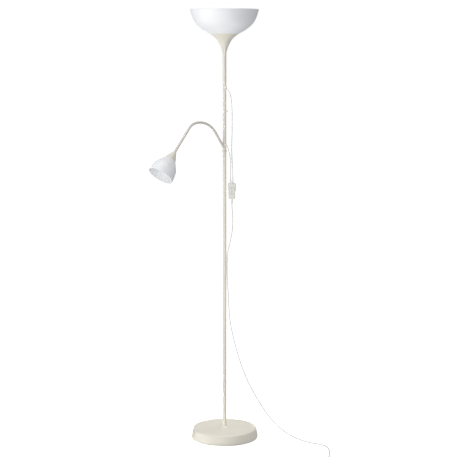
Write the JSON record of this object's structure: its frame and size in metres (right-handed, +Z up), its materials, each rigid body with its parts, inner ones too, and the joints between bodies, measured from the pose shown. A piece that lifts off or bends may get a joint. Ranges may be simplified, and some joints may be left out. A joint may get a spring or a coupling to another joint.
{
  "type": "torchiere floor lamp",
  "caption": "Floor lamp: round weighted base, slim pole, upward bowl shade on a funnel, gooseneck reading lamp, in-line double switch and mains cord with plug.",
  "frame": {"origin": "on the floor, at the pole's axis under the middle of the base", "axes": "+Z up along the pole, -Y towards the front of the lamp, +X to the side where the cord lies"},
  "size_m": [0.7184, 0.5534, 1.76],
  "materials": {
    "ivory_metal": "satin ivory powder coat",
    "ivory_plastic": "satin ivory moulded plastic",
    "white_shade": "translucent white moulded plastic, satin",
    "white_plastic": "white moulded plastic, satin",
    "cord_sheath": "soft pale grey-white sheath",
    "arm_sleeve": "satin ivory sleeve over a steel spiral",
    "steel": "zinc-plated",
    "brass": "plain brass",
    "cast_weight": "raw casting",
    "pad_felt": "soft pad",
    "bulb_glass": "frosted opal",
    "nickel": "nickel-plated"
  },
  "bodies": {
    "stand": {"base_cover": "ivory_metal", "base_plate": "steel", "base_pads": "pad_felt", "base_weight": "cast_weight", "base_washer": "steel", "base_screw": "steel", "pole_foot_insert": "steel", "pole_collar": "ivory_plastic", "pole_tube_1": "ivory_metal", "pole_tube_2": "ivory_metal", "pole_tube_3": "ivory_metal", "pole_tube_4": "ivory_metal", "pole_coupler_1": "steel", "pole_coupler_2": "steel", "pole_coupler_3": "steel", "arm_ring": "ivory_metal", "lead_grommet_upper": "white_plastic", "lead_grommet_lower": "white_plastic", "cord_clip_lower": "ivory_plastic", "cord_clip_upper": "ivory_plastic", "inner_lead": "cord_sheath", "funnel": "ivory_plastic", "bowl": "white_shade", "pole_nipple": "steel", "nipple_nut": "steel", "lampholder_upper": "white_plastic", "shade_ring_upper": "white_plastic", "bulb_upper": "bulb_glass", "bulb_cap_upper": "nickel", "arm_link_0": "arm_sleeve", "switch_front": "white_plastic", "switch_rear": "white_plastic", "switch_contacts": "brass", "switch_screws": "steel", "lead_reliefs": "cord_sheath", "mains_relief": "cord_sheath", "upper_lead": "cord_sheath", "reading_lead": "cord_sheath", "mains_cord": "cord_sheath", "mains_coil": "cord_sheath", "mains_tail": "cord_sheath", "coil_tie": "white_plastic", "plug_body": "white_plastic", "plug_pins": "nickel"},
    "arm_1": {"arm_link_1": "arm_sleeve"},
    "arm_2": {"arm_link_2": "arm_sleeve"},
    "arm_3": {"arm_link_3": "arm_sleeve"},
    "arm_4": {"arm_link_4": "arm_sleeve"},
    "arm_5": {"arm_link_5": "arm_sleeve"},
    "arm_6": {"arm_link_6": "arm_sleeve"},
    "reading_head": {"arm_link_7": "arm_sleeve", "head_cap": "ivory_plastic", "head_shade": "white_shade", "lampholder_lower": "white_plastic", "shade_ring_lower": "white_plastic", "bulb_lower": "bulb_glass", "bulb_cap_lower": "nickel"},
    "rocker_left": {"rocker_left": "white_plastic"},
    "rocker_right": {"rocker_right": "white_plastic"}
  },
  "joints": [
    {"name": "arm_bend_1", "type": "hinge", "parent": "stand", "child": "arm_1", "pos_m": [-0.02308, -0.02078, 1.24572], "axis": [-0.6691, 0.7431, 0], "range_deg": [-10, 22]},
    {"name": "arm_swing_2", "type": "hinge", "parent": "arm_1", "child": "arm_2", "pos_m": [-0.04233, -0.03811, 1.28002], "axis": [-0.5433, -0.4892, -0.6823], "range_deg": [-18, 18]},
    {"name": "arm_bend_3", "type": "hinge", "parent": "arm_2", "child": "arm_3", "pos_m": [-0.06821, -0.06142, 1.30473], "axis": [-0.6691, 0.7431, 0], "range_deg": [-10, 22]},
    {"name": "arm_swing_4", "type": "hinge", "parent": "arm_3", "child": "arm_4", "pos_m": [-0.09924, -0.08936, 1.31369], "axis": [-0.0063, -0.0057, -1], "range_deg": [-18, 18]},
    {"name": "arm_bend_5", "type": "hinge", "parent": "arm_4", "child": "arm_5", "pos_m": [-0.12998, -0.11704, 1.30417], "axis": [-0.6691, 0.7431, 0], "range_deg": [-10, 22]},
    {"name": "arm_swing_6", "type": "hinge", "parent": "arm_5", "child": "arm_6", "pos_m": [-0.15158, -0.13648, 1.27273], "axis": [0.5734, 0.5163, -0.6361], "range_deg": [-18, 18]},
    {"name": "arm_bend_7", "type": "hinge", "parent": "arm_6", "child": "reading_head", "pos_m": [-0.17191, -0.15479, 1.23955], "axis": [-0.6691, 0.7431, 0], "range_deg": [-10, 22]},
    {"name": "rocker_left_tilt", "type": "hinge", "parent": "stand", "child": "rocker_left", "pos_m": [0.0231, -0.0153, 1.034], "axis": [-1, 0, 0], "range_deg": [0, 13]},
    {"name": "rocker_right_tilt", "type": "hinge", "parent": "stand", "child": "rocker_right", "pos_m": [0.0361, -0.0153, 1.034], "axis": [-1, 0, 0], "range_deg": [0, 13]}
  ]
}
